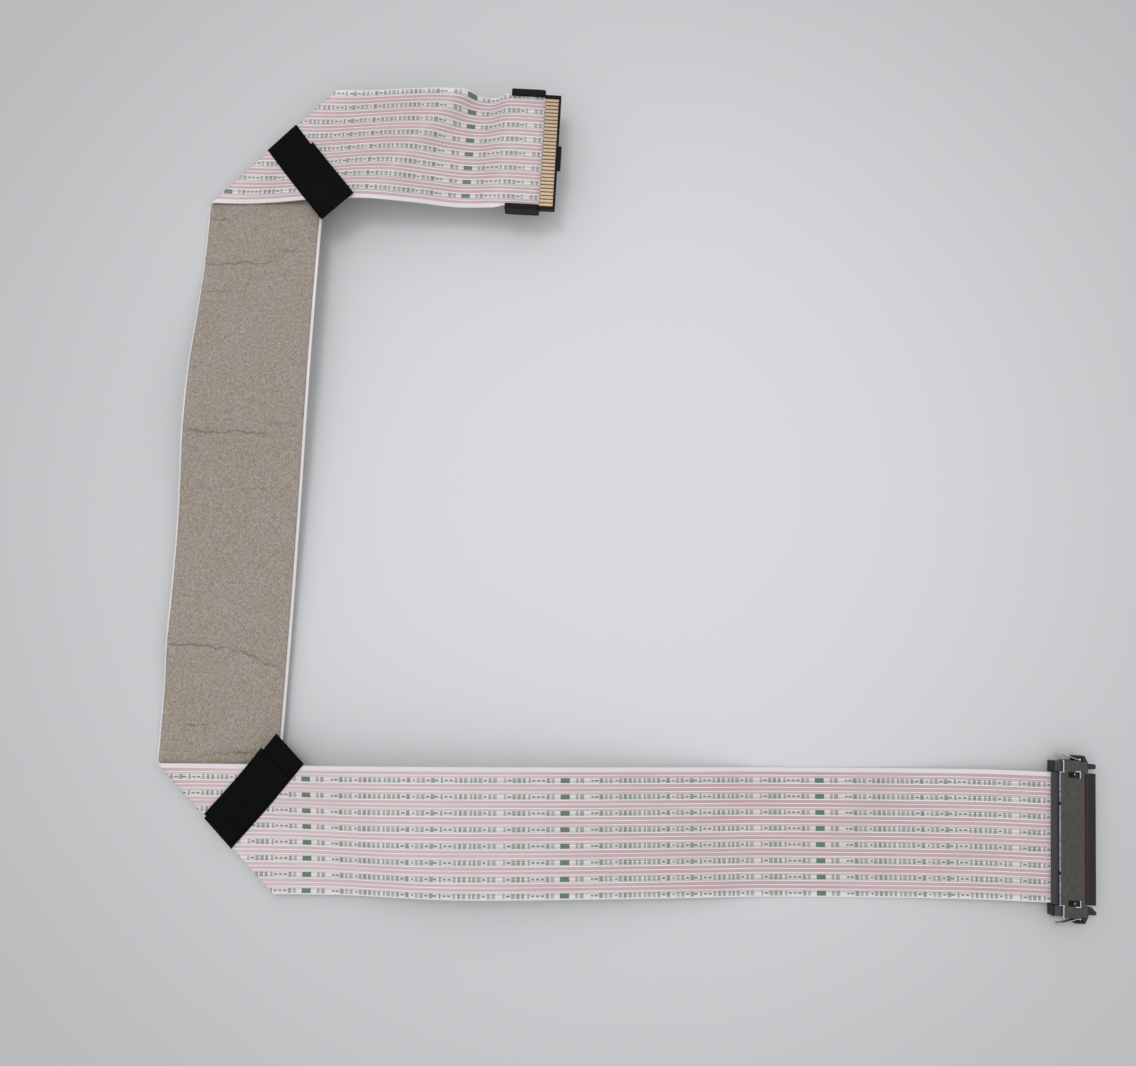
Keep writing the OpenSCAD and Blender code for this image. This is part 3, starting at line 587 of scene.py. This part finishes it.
def tapePoints(crease, q, y, off):
    # past each run's edge the lower side of the tape rises, first to the other run, then to the top side
    t = tapePlan
    upper = q < 0
    turn = math.pi * np.clip((q + foldArc) / (2 * foldArc), 0, 1)
    places = [filmPlace(crease, side * np.abs(q), y)[1] for side in (1, -1)]
    pastLower, pastTop = (smooth((np.abs(w) - halfWidth - t["free"]) / t["close"]) for w in places)
    rise = p["thick"] / 2 + t["seat"]
    x = across(q) + (rise + off) * np.sin(turn)
    top = layerHeight(crease, -np.abs(q), y) + rise
    apart = layerHeight(crease, q, y) + np.cos(turn) * (rise + off)
    closed = top - off - (1 - pastTop) * 2 * rise
    z = np.where(upper, apart, (1 - pastLower) * apart + pastLower * closed)
    side = np.cross([0, 0, 1], crease["outward"])
    return crease["point"] + x[..., None] * crease["outward"] + y[..., None] * side + z[..., None] * [0, 0, 1]


def tapePaint():
    t = tapePlan
    paint = Paint("tapeCloth", Roughness=t["roughness"], **{"Specular IOR Level": t["shine"]})
    vector, x, y, _ = paint.place()
    weave = (x * t["weave"]).sine() * (y * t["weave"]).sine()
    paint.set("Base Color", paint.mix(paint.noise(vector, t["mottle"]), t["dark"], t["light"]))
    paint.set("Normal", paint.bump(weave, t["relief"], t["reliefDepth"]))
    return paint.material


def foldTape(name, node, crease, lean, shift, second, material):
    # the first layer goes round the fold, and the second covers the stretch of its upper side given
    t = tapePlan
    end = crease["corner"] + t["flag"]
    qs = np.concatenate([np.linspace(-end, -foldArc, t["rows"]),
                         np.linspace(-foldArc, foldArc, t["turnRows"])[1:-1],
                         np.linspace(foldArc, end - t["short"], t["rows"])])
    layers = [(qs, 0.0, 0.0, t["thick"]),
              (np.linspace(*second, t["secondRows"]), -t["slip"], t["thick"], 2 * t["thick"])]
    column = np.linspace(1, -1, t["columns"]) * t["width"] / 2
    pieces = []
    for k, (q, slip, low, high) in enumerate(layers):
        y = shift + slip - np.abs(q)[:, None] * math.tan(math.radians(lean)) + column[None]
        grid = np.broadcast_to(q[:, None], y.shape)
        outer, inner = tapePoints(crease, grid, y, high), tapePoints(crease, grid, y, low)
        pieces.append(slabMesh(f"{name}{k}", outer, inner, q[:, None] / t["mapSize"],
                               column[None] / t["mapSize"], [material]))
    for piece in pieces:
        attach(piece, "cable")
    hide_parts(node)
    length = 2 * end + math.pi * p["foldRadius"] - 2 * foldArc - t["short"]
    length * mm


tapeMaterial = tapePaint()
lowerFlag = lowerCrease["corner"] + tapePlan["flag"]
upperFlag = upperCrease["corner"] + tapePlan["flag"]
foldTape("lowerTape", "lower_fold_tape", lowerCrease, tapePlan["lowerLean"], tapePlan["lowerShift"],
         (tapePlan["step"] - lowerFlag, -foldArc), tapeMaterial)
foldTape("upperTape", "upper_fold_tape", upperCrease, tapePlan["upperLean"], tapePlan["upperShift"],
         (-upperFlag, -tapePlan["bare"]), tapeMaterial)
print("tapes made")


# Connectors: the CAD solids with their finishes
finishes = dict(
    card_edge_holder=dict(colour=(0.0026, 0.0026, 0.003), rough=0.45, metal=0.0, shine=0.12),
    clamp_bar=dict(colour=(0.034, 0.033, 0.037), rough=0.5, metal=0.0, shine=0.4),
    plug_contacts=dict(colour=(0.62, 0.42, 0.24), rough=0.3, metal=1.0, shine=0.4),
    left_latch=dict(colour=(0.45, 0.44, 0.42), rough=0.3, metal=1.0, shine=0.4),
    right_latch=dict(colour=(0.45, 0.44, 0.42), rough=0.3, metal=1.0, shine=0.4))
shadePlan = dict(scale=0.8, detail=3.0, spread=0.15)
plugPlan = dict(slate=(0.044, 0.052, 0.064), rear=(0.003, 0.003, 0.0035), slot=(0.050, 0.010, 0.009),
                tongue=(0.009, 0.0068, 0.0075), post=(0.016, 0.019, 0.024), bracket=(0.022, 0.012, 0.014),
                rearTo=-4.62, slotFrom=2.4, slotTo=3.4, tongueFrom=4.6, coreHalf=16.3, postFrom=3.3,
                bodyHalf=18.97, rough=0.42, shine=0.35, grain=(2.0, 3.0), grainShare=0.5, grainLow=0.75)
shellPlan = dict(plate=(0.072, 0.070, 0.063), paintedHighlight=(0.62, 0.65, 0.70), dark=(0.006, 0.006, 0.006),
                 metal=0.75, lipTo=-3.42, lipShare=0.5, wingRear=-2.77, wingEdge=0.2, wingOverlap=0.1,
                 coreHalf=16.3, windowRear=-1.52, windowFront=1.38, windowIn=14.9, windowOut=16.4,
                 edge=0.2, edgeRun=1.1, lanceGlint=(0.45, 15.75), lanceGlintRadius=0.3, brush=(5.0, 0.6),
                 mottle=(1.2, 4.0, 0.7), mottleRange=(0.3, 0.7), darker=0.8, lighter=1.3,
                 lipHighlightPatches=(0.35, 0.55, 0.45, 1.0), roughness=(0.36, 0.5))
fingerPlan = dict(gilt=(0.34, 0.235, 0.14), worn=(0.45, 0.36, 0.27), wear=(0.7, 3.0), rough=0.34,
                  metal=0.8, count=30, pitch=1.0, width=0.7, thick=0.1, back=3.58, front=0.06,
                  rounding=0.04, roundingSteps=2)
stiffenerPlan = dict(film=(0.66, 0.64, 0.60), gapShade=(0.17, 0.095, 0.045), gapFrom=-142.1, rough=0.5)


def plainPaint(name, finish):
    paint = Paint(name, Roughness=finish["rough"], Metallic=finish["metal"])
    paint.set("Specular IOR Level", finish["shine"])
    shade = paint.noise(paint.place()[0], shadePlan["scale"], shadePlan["detail"])
    darker = [c * (1 - shadePlan["spread"]) for c in finish["colour"]]
    lighter = [c * (1 + shadePlan["spread"]) for c in finish["colour"]]
    paint.set("Base Color", paint.mix(shade, darker, lighter))
    return paint.material


def housingPaint():
    # slate moulding with a black rear strip, a dark brown slot before the tongue whose darkness is painted
    # shade under the shell's front edge, and a darker tongue
    h = plugPlan
    paint = Paint("housingFinish", Roughness=h["rough"], **{"Specular IOR Level": h["shine"]})
    vector, x, y, _ = paint.place()
    grain = paint.noise(vector, *h["grain"]) * h["grainShare"] + h["grainLow"]
    core = abs(y) < h["coreHalf"]
    colour = paint.mix(x < h["rearTo"], h["slate"], h["rear"])
    # painted shade: the slot under the shell's front edge is dark brown
    colour = paint.mix(core * (x > h["slotFrom"]), colour, h["slot"])
    colour = paint.mix(core * x.within(h["slotTo"], h["tongueFrom"]), colour, h["tongue"])
    colour = paint.mix((1 - core) * (x > h["postFrom"]), colour, h["post"])
    colour = paint.mix(abs(y) > h["bodyHalf"], colour, h["bracket"])
    paint.set("Base Color", paint.mix(1.0, colour, grain, "MULTIPLY"))
    return paint.material


def shellPaint():
    # dark plating with painted highlights along its sheared edges: rear lip, wings and windows; the windows
    # are painted dark as shade, with a painted glint on each lance tip
    h = shellPlan
    paint = Paint("shellFinish", Metallic=h["metal"])
    vector, x, y, z = paint.place()
    side = abs(y)
    brush = paint.noise(paint.combine(x * h["brush"][0], y * h["brush"][1], z), 1.0, 3.0)
    mottle = paint.noise(vector, *h["mottle"])
    plate = paint.mix((brush * 0.5 + mottle * 0.5).within(*h["mottleRange"]),
                      [c * h["darker"] for c in h["plate"]], [c * h["lighter"] for c in h["plate"]])

    def onEdge(place, start):
        return abs(place - start - h["edge"] / 2) < h["edge"] / 2

    inWindow = (x > h["windowRear"]) * (x < h["windowFront"])
    inWindow = inWindow * (side > h["windowIn"]) * (side < h["windowOut"])
    front = onEdge(x, h["windowFront"]) * (side > h["windowIn"]) * (side < h["windowOut"] + h["edge"])
    outer = onEdge(side, h["windowOut"]) * (x > h["windowFront"] - h["edgeRun"])
    outer = outer * (x < h["windowFront"] + h["edge"])
    # painted highlight along the rear lip, in patches
    lip = (x < h["lipTo"]) * mottle.within(*h["lipHighlightPatches"])
    wing = (side > h["coreHalf"] - h["wingOverlap"]) * (x < h["wingRear"] + h["wingEdge"])
    inner = abs(side - h["coreHalf"] - h["wingOverlap"] / 2) < h["wingOverlap"]
    inner = inner * (x < h["wingRear"] + h["wingEdge"] + h["wingOverlap"])
    dx, dy = x - h["lanceGlint"][0], side - h["lanceGlint"][1]
    lanceGlint = dx * dx + dy * dy < h["lanceGlintRadius"] * h["lanceGlintRadius"]
    # painted highlights on the edges, and a painted glint on each lance tip
    paintedHighlight = front.most(outer).most(lip * h["lipShare"]).most(wing).most(inner).most(inWindow * lanceGlint)
    # painted shade: the windows are dark where the lances lie in shadow
    colour = paint.mix(inWindow, plate, h["dark"])
    paint.set("Base Color", paint.mix(paintedHighlight, colour, h["paintedHighlight"]))
    paint.set("Roughness", mottle.within(*h["mottleRange"], *h["roughness"]))
    return paint.material


def fingerPaint():
    h = fingerPlan
    paint = Paint("fingerFinish", Roughness=h["rough"], Metallic=h["metal"])
    paint.set("Base Color", paint.mix(paint.noise(paint.place()[0], *h["wear"]), h["gilt"], h["worn"]))
    return paint.material


def treeNode(tree, kind, inputs):
    made = tree.nodes.new(kind)
    for key, value in inputs.items():
        if hasattr(value, "is_output"):
            tree.links.new(value, made.inputs[key])
        else:
            made.inputs[key].default_value = value
    return made


def fingerTree(material):
    # a row of equal bars along a line, with its sizes as named inputs
    tree = bpy.data.node_groups.new("fingerRow", "GeometryNodeTree")
    sockets = dict(Count="NodeSocketInt", First="NodeSocketVector", Step="NodeSocketVector",
                   Bar="NodeSocketVector", Turn="NodeSocketFloat")
    for label, kind in sockets.items():
        tree.interface.new_socket(label, in_out="INPUT", socket_type=kind)
    tree.interface.new_socket("Geometry", in_out="OUTPUT", socket_type="NodeSocketGeometry")
    given = tree.nodes.new("NodeGroupInput").outputs
    line = treeNode(tree, "GeometryNodeMeshLine",
                    {"Count": given["Count"], "Start Location": given["First"], "Offset": given["Step"]})
    bar = treeNode(tree, "GeometryNodeMeshCube", {"Size": given["Bar"]})
    angle = treeNode(tree, "ShaderNodeCombineXYZ", {"Z": given["Turn"]})
    row = treeNode(tree, "GeometryNodeInstanceOnPoints",
                   {"Points": line.outputs[0], "Instance": bar.outputs[0], "Rotation": angle.outputs[0]})
    solid = treeNode(tree, "GeometryNodeRealizeInstances", {"Geometry": row.outputs[0]})
    dressed = treeNode(tree, "GeometryNodeSetMaterial", {"Geometry": solid.outputs[0], "Material": material})
    tree.links.new(dressed.outputs[0], tree.nodes.new("NodeGroupOutput").inputs["Geometry"])
    return tree


def fingerRow():
    h = fingerPlan
    middle, ruling = (v[0] for v in middleAndRuling([ribbonEnd - (h["back"] + h["front"]) / 2]))
    first = middle - ruling * h["pitch"] * (h["count"] - 1) / 2
    values = dict(Count=h["count"], First=first * mm, Step=ruling * h["pitch"] * mm,
                  Bar=np.array([h["back"] - h["front"], h["width"], h["thick"]]) * mm,
                  Turn=math.radians(upperAngle))
    piece = bpy.data.objects.new("giltFingers", bpy.data.meshes.new("giltFingers"))
    scene.collection.objects.link(piece)
    tree = fingerTree(fingerPaint())
    row = piece.modifiers.new("row", "NODES")
    row.node_group = tree
    for socket in tree.interface.items_tree:
        if socket.in_out == "INPUT":
            value = values[socket.name]
            row[socket.identifier] = value.tolist() if hasattr(value, "tolist") else value
    edge = piece.modifiers.new("edge", "BEVEL")
    edge.width, edge.segments = h["rounding"] * mm, h["roundingSteps"]
    ready = piece.evaluated_get(bpy.context.evaluated_depsgraph_get())
    mesh = bpy.data.meshes.new_from_object(ready)
    piece.modifiers.clear()
    piece.data = mesh
    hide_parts("contact_fingers")
    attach(piece, "cable")


def stiffenerPaint():
    # white film, with painted brown shade between the bare contacts
    h = stiffenerPlan
    paint = Paint("stiffenerFinish", Roughness=h["rough"])
    x = paint.place()[1]
    # painted shade: brown where the film lies between the raised contacts
    paint.set("Base Color", paint.mix(x > h["gapFrom"], h["film"], h["gapShade"]))
    return paint.material


soft = dict(plug_housing=0.12, card_edge_holder=0.14, clamp_bar=0.1, top_shell=0.04)
softPlan = dict(merge=0.001, flatDeg=1.0, sharpDeg=35.0, segments=2, profile=0.5)


def softened(node, reach):
    # a copy of a solid with its outward sharp edges rounded by reach, so that nothing is added to it
    s = softPlan
    shape = bmesh.new()
    shape.from_mesh(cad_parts[node].data)
    bmesh.ops.remove_doubles(shape, verts=shape.verts, dist=s["merge"] * mm)
    bmesh.ops.dissolve_limit(shape, angle_limit=math.radians(s["flatDeg"]), verts=shape.verts,
                             edges=shape.edges)
    sharp = [e for e in shape.edges if len(e.link_faces) == 2 and e.is_convex
             and e.calc_face_angle(0) > math.radians(s["sharpDeg"])]
    bmesh.ops.bevel(shape, geom=sharp, offset=reach * mm, segments=s["segments"], profile=s["profile"],
                    affect="EDGES", clamp_overlap=True)
    mesh = bpy.data.meshes.new(node + "Soft")
    shape.to_mesh(mesh)
    shape.free()
    piece = bpy.data.objects.new(node + "Soft", mesh)
    scene.collection.objects.link(piece)
    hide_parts(node)
    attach(piece, "cable")
    return piece


shellMaterial = shellPaint()
materials = {node: plainPaint(node + "Finish", finish) for node, finish in finishes.items()}
materials.update(plug_housing=housingPaint(), top_shell=shellMaterial, bottom_shell=shellMaterial,
                 end_stiffener=stiffenerPaint())
for node, material in materials.items():
    piece = softened(node, soft[node]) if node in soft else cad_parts[node]
    piece.data.materials.clear()
    piece.data.materials.append(material)
fingerRow()
print("connectors finished")


# Floor and light
stagePlan = dict(floor=(0.66, 0.665, 0.675), rim=(0.475, 0.478, 0.485), middle=(-118.0, 86.0),
                 paintedPool=(30.0, 225.0), size=40000.0, drop=0.03, rough=0.8, shine=0.1,
                 sky=(0.97, 0.985, 1.0), world=0.89, keyPower=41.0, keyPlace=(-0.46, 0.46, 1.42),
                 keyRadius=0.38, keyCone=26.0, aim=(-0.12, 0.07, 0.0))


def addStage(plan):
    # the floor is a hair under the object, and paler in a painted pool of light round the object's middle,
    # darker towards its rim
    bpy.ops.mesh.primitive_plane_add(size=plan["size"] * mm, location=(0, 0, -plan["drop"] * mm))
    floor = bpy.context.object
    floor.name = "paleFloor"
    paint = Paint("paleFloorFinish", Roughness=plan["rough"], **{"Specular IOR Level": plan["shine"]})
    _, x, y, _ = paint.place()
    dx, dy = x - plan["middle"][0], y - plan["middle"][1]
    away = (dx * dx + dy * dy).root()
    # painted light: a pale pool in the middle, fading to a darker rim
    paint.set("Base Color", paint.mix(away.within(*plan["paintedPool"]), plan["floor"], plan["rim"]))
    floor.data.materials.append(paint.material)
    world = bpy.data.worlds.new("softRoom")
    scene.world = world
    world.use_nodes = True
    back = world.node_tree.nodes["Background"]
    back.inputs["Color"].default_value = (*plan["sky"], 1)
    back.inputs["Strength"].default_value = plan["world"]
    light = bpy.data.lights.new("keyPool", "SPOT")
    light.energy = plan["keyPower"]
    light.shadow_soft_size = plan["keyRadius"]
    light.spot_size = math.radians(plan["keyCone"])
    light.spot_blend = 1.0
    lamp = bpy.data.objects.new("keyPool", light)
    scene.collection.objects.link(lamp)
    lamp.location = plan["keyPlace"]
    lamp.rotation_euler = (Vector(plan["aim"]) - lamp.location).to_track_quat("-Z", "Y").to_euler()


addStage(stagePlan)
scene.view_settings.view_transform = "Standard"
print("stage set")
